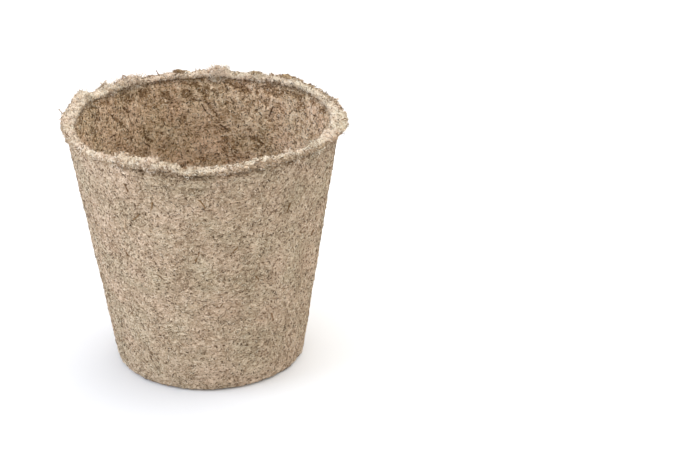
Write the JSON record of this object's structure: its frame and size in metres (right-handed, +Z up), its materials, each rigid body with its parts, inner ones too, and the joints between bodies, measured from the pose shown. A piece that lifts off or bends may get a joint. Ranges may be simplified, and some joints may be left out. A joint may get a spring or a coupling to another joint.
{
  "type": "peat pot",
  "caption": "Tapered round seedling pot of pressed wood fibre and peat, with a torn fibrous lip and loose stems and straws caught in the felt.",
  "frame": {"origin": "centre of the flat underside that the pot stands on", "axes": "+Z up along the pot's axis, out of its mouth; -Y towards the side of the lip that is torn lowest"},
  "size_m": [0.0812, 0.0791, 0.0755],
  "materials": {
    "felt": "matte pressed fibre",
    "dark_stem": "matte dry stem",
    "pale_straw": "matte dry straw",
    "bark": "matte bark"
  },
  "bodies": {
    "root": {"moulded_cup": "felt", "wall_stems": "dark_stem", "inner_stems": "dark_stem", "wall_straws": "pale_straw", "inner_straws": "pale_straw", "rim_sprigs": "dark_stem", "rim_tufts": "pale_straw", "rim_flakes": "bark"}
  },
  "joints": []
}
